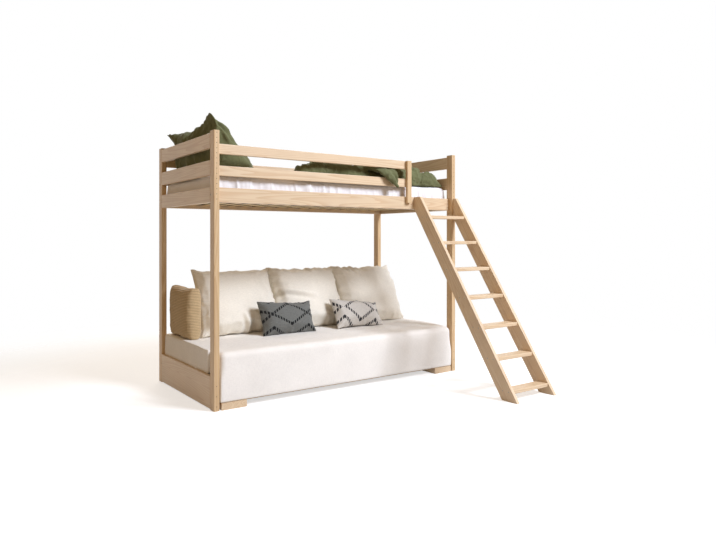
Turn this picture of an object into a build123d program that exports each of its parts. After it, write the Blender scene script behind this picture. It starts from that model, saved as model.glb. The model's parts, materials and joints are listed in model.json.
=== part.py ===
from build123d import *
import os
from math import atan2, cos, radians, sin, tan

os.makedirs("parts", exist_ok=True)

# A pine loft bed over a sofa. Millimetres, +Z up, the long front faces -Y.
# The origin lies on the floor under the middle of the whole footprint, ladder included.

# Driving sizes: the mattress that the bed is built for, and the room under it
mattress_length = 2000.0
mattress_width = 900.0
mattress_thickness = 140.0
mattress_end_gap = 2.0
mattress_side_gap = 12.0
side_rail_underside = 1306.0

# Boards and posts
post_top_gap = 12.0
post_thickness = 38.0
post_width = 64.0
post_rounding = 5.0
lower_post_height = 870.0
board_thickness = 25.0
board_rounding = 3.0
board_chamfer = 2.0
tenon_length = 20.0
tenon_thickness = 12.0
tenon_height = 16.0
tenon_edge = 12.0
tenon_gap = 0.1
wide_board = 95.0
narrow_board = 64.0
end_rail_gap = 76.0
guard_rail_gap = 74.0
end_rail_count = 3

# Pin holes in the front of the front posts
pin_hole_radius = 2.5
pin_hole_depth = 12.0
pin_hole_pitch = 32.0
upper_pin_hole_count = 14
upper_pin_hole_drop = 15.0
lower_pin_hole_count = 3
lower_pin_hole_height = 28.0
lower_pin_hole_steps = 2

# Guard post beside the ladder opening
guard_post_ladder_gap = 47.0
guard_post_width = 42.0
guard_post_overlap = 48.0

# Slats of the upper bed
ledger_height = 30.0
ledger_thickness = 24.0
slat_thickness = 18.0
upper_slat_count = 18
upper_slat_width = 60.0
upper_slat_margin = 54.0
slat_end_gap = 2.0

# Ladder
ladder_width = 408.0
ladder_reach = 981.0
stringer_thickness = 26.0
stringer_width = 110.0
stringer_top_land = 28.0
tread_count = 7
first_tread_top = 75.0
top_step = 147.0
tread_thickness = 25.0
tread_depth = 94.0
tread_setback = 2.0
tread_rounding = 4.0
tread_housing = 8.0

# Base of the sofa
seat_panel_height = 205.0
floor_gap = 4.0
seat_slat_rise = 8.0
seat_slat_width = 58.0
seat_slat_margin = 49.0
fixed_slat_count = 12
back_rail_height = 120.0
seat_bearing = 20.0
bearer_thickness = 45.0
bearer_height = 95.0
bearer_setback = 330.0
bearer_leg_width = 60.0
guide_depth = 3.0
guide_side_gap = 1.5

# Base that pulls out to widen the sofa into a bed
pullout_travel = 300.0
pullout_end_gap = 5.0
foot_inset = 51.0
foot_length = 173.0
foot_height = 45.0
toe_board_thickness = 18.0
toe_board_setback = 62.0
front_board_thickness = 25.0
rear_tie_width = 45.0
rear_tie_height = 27.0
slide_gap = 0.3
stop_gap = 0.5

# Mattresses and cushions
seat_gap = 0.3
front_cushion_thickness = 152.0
front_cushion_drop = 7.0
front_cushion_gap = 3.0
seat_mattress_thickness = 150.0
seat_mattress_inset = 20.0
upholstery_radius = 34.0
upholstery_crown = 7.0
upholstery_shoulder = 60.0
upholstery_draw = 4.0
back_cushion_count = 3
back_cushion_gap = 8.0
back_cushion_corner_gap = 5.0
back_cushion_end_gap = 68.0
back_cushion_height = 546.0
back_cushion_thickness = 190.0
back_cushion_draw = 26.0
back_cushion_lean = 27.0
back_cushion_reach = 346.0
back_cushion_lift = 231.0
corner_cushion_length = 420.0
corner_cushion_height = 372.0
corner_cushion_thickness = 150.0
corner_cushion_draw = 14.0
corner_cushion_left = 22.0
corner_cushion_back_gap = 20.0
scatter_width = 462.0
scatter_height = 276.0
scatter_thickness = 112.0
scatter_draw = 17.0
scatter_lean = 22.0
scatter_reach = 254.0
dark_scatter_share = 0.37
light_scatter_share = 0.679
pillow_width = 800.0
pillow_height = 560.0
pillow_thickness = 170.0
pillow_draw = 30.0
pillow_belly = 70.0
pillow_lean = 44.0
pillow_reach = 222.0
pillow_lift = 189.0
pillow_offset = 34.0
duvet_start_share = 0.29
duvet_end_gap = 15.0
duvet_side_gap = 20.0
duvet_height = 150.0
duvet_flap_share = 0.713
duvet_flap_width = 216.0
duvet_flap_drop = 80.0
duvet_flap_thickness = 14.0

# Bolts, dowels and screws
bolt_radius = 3.0
bolt_length = 80.0
bolt_head_radius = 7.0
bolt_head_height = 3.0
bolt_head_recess = 2.0
barrel_nut_radius = 5.0
barrel_nut_length = 16.0
barrel_nut_reach = 30.0
dowel_radius = 6.0
dowel_length = 44.0
screw_radius = 2.0
screw_length = 44.0
screw_head_radius = 4.0
screw_head_height = 2.5
screw_spacing = 52.0
fastener_sides = 8
fit_gap = 0.05
overrun = 5.0

# Places worked out from the sizes
bed_length = mattress_length + 2 * (mattress_end_gap + post_thickness)
bed_depth = mattress_width + 2 * (mattress_side_gap + post_width)
footprint_depth = bed_depth + ladder_reach
x_left = -bed_length / 2
x_right = bed_length / 2
y_front = ladder_reach - footprint_depth / 2
y_back = y_front + bed_depth
rail_face = y_front + post_width - board_thickness
inner_front = y_front + post_width
inner_back = y_back - post_width
side_rail_top = side_rail_underside + wide_board
guard_lower_underside = side_rail_top + guard_rail_gap
guard_lower_top = guard_lower_underside + narrow_board
guard_top_underside = guard_lower_top + guard_rail_gap
guard_top = guard_top_underside + narrow_board
end_rail_pitch = wide_board + end_rail_gap
bed_height = side_rail_underside + end_rail_count * end_rail_pitch - end_rail_gap + post_top_gap
rail_left = x_left + post_thickness
rail_right = x_right - post_thickness
slat_underside = side_rail_underside + ledger_height
mattress_underside = slat_underside + slat_thickness + seat_gap
mattress_rest = mattress_underside + mattress_thickness + seat_gap
seat_panel_top = floor_gap + seat_panel_height
seat_slat_top = seat_panel_top + seat_slat_rise
fixed_slat_underside = seat_slat_top - slat_thickness
bearer_top = fixed_slat_underside
guide_floor = bearer_top - guide_depth
pullout_slat_underside = guide_floor + slide_gap
seat_underside = seat_slat_top + seat_gap
seat_top = seat_underside + seat_mattress_thickness
seat_rest = seat_top + seat_gap
front_cushion_top = seat_top - front_cushion_drop
front_cushion_back = y_front + front_cushion_thickness
front_board_front = front_cushion_back + front_cushion_gap
front_board_back = front_board_front + front_board_thickness
bearer_front = y_front + bearer_setback
bearer_back = bearer_front + bearer_thickness
rear_tie_front = bearer_back + pullout_travel + stop_gap
rear_tie_back = rear_tie_front + rear_tie_width

nodes = {}


def box(low, high):
    size = [b - a for a, b in zip(low, high)]
    return Pos(*low) * Box(*size, align=(Align.MIN, Align.MIN, Align.MIN))


def long_edges(block):
    size = tuple(block.bounding_box().size)
    order = (Axis.X, Axis.Y, Axis.Z)
    return block.edges().filter_by(order[size.index(max(size))])


def board(low, high, rounding=board_rounding):
    # planed board between two corners, its long edges rounded over
    block = box(low, high)
    return fillet(long_edges(block), rounding)


def plain_board(low, high):
    # board for a place out of sight, or a slat, its long edges only broken
    block = box(low, high)
    return chamfer(long_edges(block), board_chamfer)


def rod(start, direction, radius, length):
    # round bar from a start point along a direction
    return Plane(origin=start, z_dir=direction) * Cylinder(
        radius, length, align=(Align.CENTER, Align.CENTER, Align.MIN))


def bar(start, direction, radius, length):
    # bolts, dowels and their holes are drawn with few sides, because there are many of them
    face = Plane(origin=start, z_dir=direction) * RegularPolygon(radius, fastener_sides)
    return extrude(face, length, dir=direction)


def add_tenons(name, axis, length, holders):
    # twin stub tenons at each end of a board, let into the pieces that hold it
    ends = nodes[name].bounding_box()
    low, high = tuple(ends.min), tuple(ends.max)
    across = 1 - axis
    middle = (low[across] + high[across]) / 2
    levels = (low[2] + tenon_edge, high[2] - tenon_edge - tenon_height)
    for holder, start, end in ((holders[0], low[axis] - length, low[axis]),
                               (holders[1], high[axis], high[axis] + length)):
        for level in levels:
            near, far = [0, 0, level], [0, 0, level + tenon_height]
            near[axis], far[axis] = start, end
            near[across], far[across] = middle - tenon_thickness / 2, middle + tenon_thickness / 2
            nodes[name] += box(near, far)
            nodes[holder] -= box([v - tenon_gap for v in near], [v + tenon_gap for v in far])


def pin_hole(x, z):
    return rod((x, y_front - overrun, z), (0, 1, 0), pin_hole_radius, pin_hole_depth + overrun)


# Posts: each is two lengths of pine, one on the other, with a dowel between
post_places = {
    "front_left": (x_left, y_front),
    "front_right": (x_right - post_thickness, y_front),
    "back_left": (x_left, y_back - post_width),
    "back_right": (x_right - post_thickness, y_back - post_width),
}


def post_centre(place):
    x, y = post_places[place]
    return x + post_thickness / 2, y + post_width / 2


def make_post(place, low, high):
    x, y = post_places[place]
    return board((x, y, low), (x + post_thickness, y + post_width, high), post_rounding)


for place in post_places:
    nodes["post_" + place + "_lower"] = make_post(place, 0, lower_post_height)
    nodes["post_" + place + "_upper"] = make_post(place, lower_post_height, bed_height)

for place in ("front_left", "front_right"):
    hole_x = post_centre(place)[0]
    for i in range(upper_pin_hole_count):
        hole_z = bed_height - upper_pin_hole_drop - i * pin_hole_pitch
        nodes["post_" + place + "_upper"] -= pin_hole(hole_x, hole_z)
    for i in range(lower_pin_hole_count):
        hole_z = lower_pin_hole_height + i * lower_pin_hole_steps * pin_hole_pitch
        nodes["post_" + place + "_lower"] -= pin_hole(hole_x, hole_z)

# End rails: three boards between the posts at each end, flush with the outside
end_rail_names = ("bottom", "middle", "top")
end_rail_undersides = [side_rail_underside + i * end_rail_pitch for i in range(end_rail_count)]
end_faces = {"left": x_left, "right": x_right - board_thickness}
for side, x in end_faces.items():
    for name, z in zip(end_rail_names, end_rail_undersides):
        nodes[side + "_end_rail_" + name] = board(
            (x, inner_front, z), (x + board_thickness, inner_back, z + wide_board))
        add_tenons(side + "_end_rail_" + name, 1, tenon_length,
                   ("post_front_" + side + "_upper", "post_back_" + side + "_upper"))

# The guard post stands on the face of the side rail and carries the ends of the guard rails
guard_post_right = x_right - ladder_width - guard_post_ladder_gap
guard_post_x = guard_post_right - guard_post_width
nodes["guard_post"] = board(
    (guard_post_x, rail_face - board_thickness, side_rail_top - guard_post_overlap),
    (guard_post_right, rail_face, guard_top))

# Side rails and guard rails lie flush with the inner faces of the posts
rail_levels = {
    "side_rail": (side_rail_underside, side_rail_top),
    "guard_rail_lower": (guard_lower_underside, guard_lower_top),
    "guard_rail_top": (guard_top_underside, guard_top),
}
rail_tenon_length = post_thickness / 3
for row, y in (("front", rail_face), ("back", inner_back)):
    for kind, (low, high) in rail_levels.items():
        name = row + "_" + kind
        open_ended = row == "front" and kind != "side_rail"
        right = guard_post_right if open_ended else rail_right
        nodes[name] = board((rail_left, y, low), (right, y + board_thickness, high))
        if not open_ended:
            add_tenons(name, 0, rail_tenon_length,
                       ("post_" + row + "_left_upper", "post_" + row + "_right_upper"))

# Ledgers inside the side rails carry the upper slats
nodes["front_slat_ledger"] = plain_board(
    (rail_left, inner_front, side_rail_underside),
    (rail_right, inner_front + ledger_thickness, slat_underside))
nodes["back_slat_ledger"] = plain_board(
    (rail_left, inner_back - ledger_thickness, side_rail_underside),
    (rail_right, inner_back, slat_underside))


def slat_row(centres, width, y_low, y_high, underside):
    # one node of separate slats, each lying across the bed
    slats = [plain_board((x - width / 2, y_low, underside), (x + width / 2, y_high, underside + slat_thickness))
             for x in centres]
    return Compound(children=slats)


def spread(count, width, margin):
    # centres of slats that share out the length of the side rails
    first = rail_left + margin + width / 2
    pitch = (rail_right - margin - width / 2 - first) / (count - 1)
    return [first + i * pitch for i in range(count)]


nodes["upper_slats"] = slat_row(
    spread(upper_slat_count, upper_slat_width, upper_slat_margin), upper_slat_width,
    inner_front + slat_end_gap, inner_back - slat_end_gap, slat_underside)

# Ladder: two raking stringers cut plumb against the side rail, treads housed between them
ladder_tip = y_front - ladder_reach
top_front = y_front - stringer_top_land
rake = atan2(side_rail_top, top_front - ladder_tip)
stringer_footprint = stringer_width / sin(rake)
back_foot = ladder_tip + stringer_footprint
stringer_right = x_right - stringer_thickness
stringer_left = x_right - ladder_width
stringer_places = {"left": (stringer_left, rail_face), "right": (stringer_right, y_front)}


def make_stringer(x, plumb_face):
    # the left stringer stands against the side rail and the right one against the post
    outline = Polyline(
        (ladder_tip, 0), (back_foot, 0), (plumb_face, (plumb_face - back_foot) * tan(rake)),
        (plumb_face, side_rail_top), (top_front, side_rail_top), close=True)
    solid = Pos(x, 0, 0) * extrude(Plane.YZ * make_face(outline), stringer_thickness)
    rake_edges = [e for e in solid.edges() if e.length > side_rail_top]
    return fillet(rake_edges, board_rounding)


tread_pitch = (side_rail_top - top_step - first_tread_top) / (tread_count - 1)


def tread_top(i):
    return first_tread_top + i * tread_pitch


def tread_front(i):
    return ladder_tip + tread_top(i) / tan(rake) + tread_setback


for side, (x, plumb_face) in stringer_places.items():
    nodes["ladder_stringer_" + side] = make_stringer(x, plumb_face)
for i in range(tread_count):
    tread = board(
        (stringer_left + stringer_thickness - tread_housing, tread_front(i), tread_top(i) - tread_thickness),
        (stringer_right + tread_housing, tread_front(i) + tread_depth, tread_top(i)), tread_rounding)
    nodes["ladder_tread_" + str(i + 1)] = tread
    for side in stringer_places:
        nodes["ladder_stringer_" + side] -= tread

# Fixed base of the sofa: end panels, back rail, and a notched bearer on a centre leg
for side, x in end_faces.items():
    nodes["seat_end_panel_" + side] = board(
        (x, inner_front, floor_gap), (x + board_thickness, inner_back, seat_panel_top))
    add_tenons("seat_end_panel_" + side, 1, tenon_length,
               ("post_front_" + side + "_lower", "post_back_" + side + "_lower"))
nodes["seat_back_rail"] = board(
    (rail_left, inner_back, fixed_slat_underside - back_rail_height),
    (rail_right, inner_back + board_thickness, fixed_slat_underside))
add_tenons("seat_back_rail", 0, rail_tenon_length, ("post_back_left_lower", "post_back_right_lower"))
nodes["seat_bearer"] = plain_board(
    (x_left + board_thickness, bearer_front, bearer_top - bearer_height),
    (x_right - board_thickness, bearer_back, bearer_top))
add_tenons("seat_bearer", 0, board_thickness / 2, ("seat_end_panel_left", "seat_end_panel_right"))
nodes["seat_bearer_leg"] = plain_board(
    (-bearer_leg_width / 2, bearer_front, 0), (bearer_leg_width / 2, bearer_back, bearer_top - bearer_height))

# Seat slats: fixed ones alternate with ones that pull out in the bearer's guide notches
fixed_slat_centres = spread(fixed_slat_count, seat_slat_width, seat_slat_margin)
pullout_slat_centres = [(a + b) / 2 for a, b in zip(fixed_slat_centres, fixed_slat_centres[1:])]
guide_width = seat_slat_width + 2 * guide_side_gap
nodes["seat_bearer"] -= [
    box((x - guide_width / 2, bearer_front - overrun, guide_floor),
        (x + guide_width / 2, bearer_back + overrun, bearer_top + overrun)) for x in pullout_slat_centres]
nodes["fixed_seat_slats"] = slat_row(
    fixed_slat_centres, seat_slat_width, front_board_back + pullout_end_gap, inner_back + seat_bearing,
    fixed_slat_underside)

# Pull-out: front board on two feet, toe board under the front cushion, slats and a rear tie
pullout_left = rail_left + pullout_end_gap
pullout_right = rail_right - pullout_end_gap
foot_left = x_left + foot_inset
foot_right = x_right - foot_inset
nodes["pullout_slats"] = slat_row(
    pullout_slat_centres, seat_slat_width, front_board_front, rear_tie_back, pullout_slat_underside)
nodes["pullout_front_board"] = plain_board(
    (pullout_left, front_board_front, foot_height), (pullout_right, front_board_back, pullout_slat_underside))
nodes["pullout_rear_tie"] = plain_board(
    (pullout_left, rear_tie_front, pullout_slat_underside - rear_tie_height),
    (pullout_right, rear_tie_back, pullout_slat_underside))
nodes["pullout_foot_left"] = board(
    (foot_left, y_front, 0), (foot_left + foot_length, front_board_back, foot_height))
nodes["pullout_foot_right"] = board(
    (foot_right - foot_length, y_front, 0), (foot_right, front_board_back, foot_height))
nodes["pullout_toe_board"] = plain_board(
    (foot_left + foot_length, y_front + toe_board_setback, foot_height - toe_board_thickness),
    (foot_right - foot_length, front_board_back, foot_height))

# Upholstered blocks: rounded rectangles lofted into drawn-in sides and a crowned top
block_height_shares = (0.0, 0.16, 0.5, 0.84, 1.0)


def upholstered_block(length, depth, height, radius, crown):
    insets = (upholstery_draw * 2, 0, upholstery_draw, 0, upholstery_draw * 2)
    rings = []
    for share, inset in zip(block_height_shares, insets):
        ring = RectangleRounded(length - 2 * inset, depth - 2 * inset, radius)
        rings.append(Pos(0, 0, share * (height - crown)) * ring)
    top = RectangleRounded(length - 2 * upholstery_shoulder, depth - 2 * upholstery_shoulder, radius)
    rings.append(Pos(0, 0, height) * top)
    return loft(rings, ruled=True)


seat_mattress_front = front_board_front
seat_mattress_depth = inner_back - seat_gap - seat_mattress_front
nodes["seat_mattress"] = Pos(0, seat_mattress_front + seat_mattress_depth / 2, seat_underside) * upholstered_block(
    bed_length - 2 * seat_mattress_inset, seat_mattress_depth, seat_mattress_thickness,
    upholstery_radius, upholstery_crown)
nodes["upper_mattress"] = Pos(0, (inner_front + inner_back) / 2, mattress_underside) * upholstered_block(
    mattress_length, mattress_width, mattress_thickness, upholstery_radius, upholstery_crown)

# The front cushion stands on the pull-out, its crowned face to the front
front_cushion_low = foot_height + seat_gap
front_cushion_height = front_cushion_top - front_cushion_low
front_cushion_block = upholstered_block(
    pullout_right - pullout_left, front_cushion_height, front_cushion_thickness,
    upholstery_radius, upholstery_crown)
nodes["front_cushion"] = (Pos(0, front_cushion_back, front_cushion_low + front_cushion_height / 2)
                          * Rot(90, 0, 0) * front_cushion_block)

# Loose cushions: two lofted halves meet at a seam with pointed corners and drawn-in sides
outline_shares = (1.0, 0.94, 0.8, 0.58, 0.3)
fullness_shares = (0.0, 0.42, 0.74, 0.93, 1.0)


def cushion_outline(width, height, draw, share):
    a = width / 2 * share
    b = height / 2 * share
    bend = draw * (2 * share - 1)
    corners = ((-a, -b), (a, -b), (a, b), (-a, b))
    middles = ((0, bend - b), (a - bend, 0), (0, b - bend), (bend - a, 0))
    sides = [ThreePointArc(corners[i], middles[i], corners[(i + 1) % len(corners)]) for i in range(len(corners))]
    return make_face(Curve() + sides)


def loose_cushion(width, height, thickness, draw, belly=0.0):
    # stands in the XZ plane, centred on the origin, and may sag to its back
    halves = []
    for reach in (thickness / 2, -thickness / 2 - belly):
        rings = [Plane.XZ.offset(fullness * reach) * cushion_outline(width, height, draw, share)
                 for share, fullness in zip(outline_shares, fullness_shares)]
        halves.append(loft(rings))
    return halves[0] + halves[1]


def rest_on(solid, height):
    # presses the underside flat where the piece rests
    box = solid.bounding_box()
    below = Pos(box.center().X, box.center().Y, height) * Box(
        box.size.X + 2 * overrun, box.size.Y + 2 * overrun, box.size.Z,
        align=(Align.CENTER, Align.CENTER, Align.MAX))
    return solid - below


back_cushion_start = x_left + corner_cushion_left + corner_cushion_thickness + back_cushion_corner_gap
back_cushion_room = x_right - back_cushion_end_gap - back_cushion_start + back_cushion_gap
back_cushion_pitch = back_cushion_room / back_cushion_count
back_cushion_width = back_cushion_pitch - back_cushion_gap
back_cushion_y = y_back - back_cushion_reach
for i, name in enumerate(("left", "middle", "right")):
    cushion = Rot(-back_cushion_lean, 0, 0) * loose_cushion(
        back_cushion_width, back_cushion_height, back_cushion_thickness, back_cushion_draw)
    cushion = Pos(back_cushion_start + back_cushion_width / 2 + i * back_cushion_pitch, back_cushion_y,
                  seat_top + back_cushion_lift) * cushion
    nodes["back_cushion_" + name] = rest_on(cushion, seat_rest)

scatter_centre_height = seat_top + scatter_height / 2 * cos(radians(scatter_lean)) - scatter_draw / 2
for name, share in (("dark", dark_scatter_share), ("light", light_scatter_share)):
    cushion = Rot(-scatter_lean, 0, 0) * loose_cushion(
        scatter_width, scatter_height, scatter_thickness, scatter_draw)
    cushion = Pos(x_left + share * bed_length, back_cushion_y - scatter_reach, scatter_centre_height) * cushion
    nodes[name + "_scatter_cushion"] = rest_on(cushion, seat_rest)

corner_cushion = Rot(0, 0, 90) * loose_cushion(
    corner_cushion_length, corner_cushion_height, corner_cushion_thickness, corner_cushion_draw)
corner_cushion = Pos(x_left + corner_cushion_left + corner_cushion_thickness / 2,
                     inner_back - corner_cushion_back_gap - corner_cushion_length / 2,
                     seat_top + corner_cushion_height / 2 - corner_cushion_draw) * corner_cushion
nodes["corner_cushion"] = rest_on(corner_cushion, seat_rest)

# Pillow leaning on the left end of the upper bed, its slack filling pressed against the end rails
pillow = Rot(0, -pillow_lean, 0) * Rot(0, 0, 90) * loose_cushion(
    pillow_width, pillow_height, pillow_thickness, pillow_draw, pillow_belly)
pillow = Pos(x_left + pillow_reach, (y_front + y_back) / 2 + pillow_offset, mattress_rest + pillow_lift) * pillow
pillow_stop = x_left + board_thickness + seat_gap
pillow -= box((pillow_stop - pillow_height, y_front, mattress_rest - pillow_height),
              (pillow_stop, y_back, bed_height + pillow_height))
nodes["pillow"] = rest_on(pillow, mattress_rest)

# Duvet bunched on the right half of the mattress, one corner over the lower guard rail
duvet_station_shares = (0.0, 0.05, 0.22, 0.42, 0.6, 0.8, 0.95, 1.0)
duvet_height_shares = (0.3, 0.72, 0.95, 0.84, 1.0, 0.9, 0.66, 0.25)
duvet_valley_shares = (0.7, 0.78, 0.7, 0.82, 0.72, 0.8, 0.76, 0.7)
duvet_front = inner_front + mattress_side_gap + duvet_side_gap
duvet_depth = mattress_width - 2 * duvet_side_gap
duvet_x = duvet_start_share * mattress_length - mattress_length / 2
duvet_length = mattress_length / 2 - duvet_end_gap - duvet_x


def duvet_section(height, valley):
    # two soft ridges along the bed with a valley between them
    edge = height / 2
    points = ((0, 0), (duvet_depth, 0), (duvet_depth, edge), (duvet_depth / 2, height * valley), (0, edge))
    outline = Curve() + [
        Line(points[0], points[1]),
        Line(points[1], points[2]),
        ThreePointArc(points[2], (duvet_depth * 3 / 4, height), points[3]),
        ThreePointArc(points[3], (duvet_depth / 4, height), points[4]),
        Line(points[4], points[0]),
    ]
    return make_face(outline)


duvet_rings = []
for station, high, valley in zip(duvet_station_shares, duvet_height_shares, duvet_valley_shares):
    ring_plane = Plane(origin=(duvet_x + station * duvet_length, duvet_front, mattress_rest),
                       x_dir=(0, 1, 0), z_dir=(1, 0, 0))
    duvet_rings.append(ring_plane * duvet_section(duvet_height * high, valley))
duvet = loft(duvet_rings, ruled=True)
flap_right = x_left + duvet_flap_share * bed_length
flap_left = flap_right - duvet_flap_width
flap_face = rail_face - seat_gap
flap_rest = guard_lower_top + seat_gap
flap_bridge = Pos(flap_left, flap_face - duvet_flap_thickness, flap_rest) * Box(
    duvet_flap_width, duvet_front + duvet_height - flap_face, duvet_flap_thickness,
    align=(Align.MIN, Align.MIN, Align.MIN))
flap_outline = Polyline(
    (flap_left, flap_rest), (flap_right, flap_rest - duvet_flap_drop),
    (flap_right, flap_rest + duvet_flap_thickness), (flap_left, flap_rest + duvet_flap_thickness), close=True)
flap = extrude(Plane.XZ.offset(-flap_face) * make_face(flap_outline), duvet_flap_thickness)
nodes["duvet"] = duvet + flap_bridge + flap

# A bolt between each pair of rail tenons pulls the rail up to its post by a barrel nut
bolts = []
barrel_nuts = []


def add_bolt(post_name, rail_name, outer_x, inward, y, z):
    direction = (inward, 0, 0)
    head_start = outer_x + inward * bolt_head_recess
    shank_start = head_start + inward * bolt_head_height
    nut_x = outer_x + inward * (post_thickness + barrel_nut_reach)
    nut_start = (nut_x, y - barrel_nut_length / 2, z)
    recess = bar((outer_x - inward * overrun, y, z), direction, bolt_head_radius + fit_gap,
                 overrun + bolt_head_recess + bolt_head_height)
    bore = bar((head_start, y, z), direction, bolt_radius + fit_gap, bolt_head_height + bolt_length)
    bolts.append(bar((head_start, y, z), direction, bolt_head_radius, bolt_head_height)
                 + bar((shank_start, y, z), direction, bolt_radius, bolt_length))
    barrel_nuts.append(bar(nut_start, (0, 1, 0), barrel_nut_radius, barrel_nut_length) - bore)
    nodes[post_name] = nodes[post_name] - recess - bore
    nodes[rail_name] = (nodes[rail_name] - bore
                        - bar(nut_start, (0, 1, 0), barrel_nut_radius + fit_gap, barrel_nut_length))


ends = {"left": (x_left, 1), "right": (x_right, -1)}
bolted_rails = (
    ("front_side_rail", "post_front_", "_upper"),
    ("back_side_rail", "post_back_", "_upper"),
    ("seat_back_rail", "post_back_", "_lower"),
)
for rail, post, half in bolted_rails:
    centre = nodes[rail].bounding_box().center()
    for side, (outer_x, inward) in ends.items():
        add_bolt(post + side + half, rail, outer_x, inward, centre.Y, centre.Z)
nodes["frame_bolts"] = Compound(children=bolts)
nodes["barrel_nuts"] = Compound(children=barrel_nuts)

# Dowels join the halves of each post, and the top of each stringer to what it stands against
dowels = []


def add_dowel(names, centre, direction):
    start = [c - d * dowel_length / 2 for c, d in zip(centre, direction)]
    dowels.append(bar(start, direction, dowel_radius, dowel_length))
    for name in names:
        nodes[name] -= bar(start, direction, dowel_radius + fit_gap, dowel_length)


for place in post_places:
    x, y = post_centre(place)
    add_dowel(("post_" + place + "_lower", "post_" + place + "_upper"), (x, y, lower_post_height), (0, 0, 1))
rail_middle = (side_rail_underside + side_rail_top) / 2
for side, carrier in (("left", "front_side_rail"), ("right", "post_front_right_upper")):
    x, plumb_face = stringer_places[side]
    add_dowel(("ladder_stringer_" + side, carrier), (x + stringer_thickness / 2, plumb_face, rail_middle),
              (0, 1, 0))
nodes["dowels"] = Compound(children=dowels)

# Countersunk screws: two at each end of each tread, and one from each front rail into the guard post.
screws = []


def screw_shape(start, direction, gap):
    levels = ((0, screw_head_radius), (screw_head_height, screw_radius), (screw_length, screw_radius))
    rings = [Pos(0, 0, depth) * RegularPolygon(radius + gap, fastener_sides) for depth, radius in levels]
    return Plane(origin=start, z_dir=direction) * loft(rings, ruled=True)


def add_screw(names, start, direction):
    screws.append(screw_shape(start, direction, 0))
    for name in names:
        nodes[name] -= screw_shape(start, direction, fit_gap)


for i in range(tread_count):
    tread_middle = tread_front(i) + tread_depth / 2
    for side, outer_x, inward in (("left", stringer_left, 1), ("right", x_right, -1)):
        for screw_y in (tread_middle - screw_spacing / 2, tread_middle + screw_spacing / 2):
            add_screw(("ladder_stringer_" + side, "ladder_tread_" + str(i + 1)),
                      (outer_x, screw_y, tread_top(i) - tread_thickness / 2), (inward, 0, 0))
for rail in ("front_side_rail", "front_guard_rail_lower", "front_guard_rail_top"):
    rail_box = nodes[rail].bounding_box()
    screw_z = rail_box.center().Z if rail != "front_side_rail" else side_rail_top - guard_post_overlap / 2
    add_screw((rail, "guard_post"),
              ((guard_post_x + guard_post_right) / 2, rail_face + board_thickness, screw_z), (0, -1, 0))
nodes["wood_screws"] = Compound(children=screws)

for name, shape in nodes.items():
    export_step(shape, "parts/" + name + ".step")
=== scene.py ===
import json
import math
import bmesh
import bpy
from mathutils import Euler, Matrix, Vector, noise


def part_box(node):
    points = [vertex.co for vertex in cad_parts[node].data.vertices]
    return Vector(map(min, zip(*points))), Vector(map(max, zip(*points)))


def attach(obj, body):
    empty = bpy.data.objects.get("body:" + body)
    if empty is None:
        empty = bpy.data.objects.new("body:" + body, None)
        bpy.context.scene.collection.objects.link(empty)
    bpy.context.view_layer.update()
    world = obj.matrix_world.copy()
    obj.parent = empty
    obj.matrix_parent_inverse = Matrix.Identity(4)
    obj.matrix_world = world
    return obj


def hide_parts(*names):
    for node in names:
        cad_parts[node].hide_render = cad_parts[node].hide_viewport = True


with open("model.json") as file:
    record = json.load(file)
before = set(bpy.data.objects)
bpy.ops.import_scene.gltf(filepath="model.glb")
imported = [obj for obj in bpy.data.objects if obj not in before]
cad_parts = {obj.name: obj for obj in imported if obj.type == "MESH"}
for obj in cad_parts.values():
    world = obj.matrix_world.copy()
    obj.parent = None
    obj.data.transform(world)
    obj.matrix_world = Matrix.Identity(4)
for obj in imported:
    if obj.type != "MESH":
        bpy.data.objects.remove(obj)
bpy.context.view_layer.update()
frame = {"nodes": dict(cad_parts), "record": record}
nodes = frame["nodes"]
scene = bpy.context.scene
print("frame loaded,", len(nodes), "CAD nodes")


# Small helpers for nodes, colours and objects

def addNode(tree, kind, settings=None, links=None):
    # settings are attributes or input values, links come from other nodes' outputs
    node = tree.nodes.new(kind)
    for key, value in (settings or {}).items():
        if isinstance(key, str) and hasattr(node, key):
            setattr(node, key, value)
        else:
            node.inputs[key].default_value = value
    for key, socket in (links or {}).items():
        tree.links.new(socket, node.inputs[key])
    return node


def hexColour(text):
    channels = [int(text[i:i + 2], 16) / 255 for i in (1, 3, 5)]
    return tuple(c / 12.92 if c <= 0.04045 else ((c + 0.055) / 1.055) ** 2.4 for c in channels) + (1.0,)


def startMaterial(name):
    material = bpy.data.materials.new(name)
    material.use_nodes = True
    material.node_tree.nodes.clear()
    return material, material.node_tree


def finishMesh(name, bm, material, smooth=True):
    mesh = bpy.data.meshes.new(name)
    bm.to_mesh(mesh)
    bm.free()
    piece = bpy.data.objects.new(name, mesh)
    scene.collection.objects.link(piece)
    mesh.materials.append(material)
    for face in mesh.polygons:
        face.use_smooth = smooth
    return piece


def subdivide(piece, levels):
    modifier = piece.modifiers.new("smooth", "SUBSURF")
    modifier.levels = levels
    modifier.render_levels = levels


def smoothStep(low, high, value):
    t = min(1.0, max(0.0, (value - low) / (high - low)))
    return t * t * (3 - 2 * t)


# Camera: a level view from the front left at chest height

cameraPlace = {
    "location": (-2.5695, -3.6958, 1.0813),
    "yaw": 35.712,  # degrees from straight ahead towards the ladder
    "focalPixels": 622.36,
    "imageWidth": 716,
    "imageHeight": 540,
    "horizonRow": 237.94,
}


def placeCamera(place):
    data = bpy.data.cameras.new("camera")
    data.sensor_width = 36
    data.lens = data.sensor_width * place["focalPixels"] / place["imageWidth"]
    data.shift_y = (place["horizonRow"] - place["imageHeight"] / 2) / place["imageWidth"]
    camera = bpy.data.objects.new("camera", data)
    camera.location = place["location"]
    camera.rotation_euler = (math.radians(90), 0, -math.radians(place["yaw"]))
    scene.collection.objects.link(camera)
    scene.camera = camera


placeCamera(cameraPlace)

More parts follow.
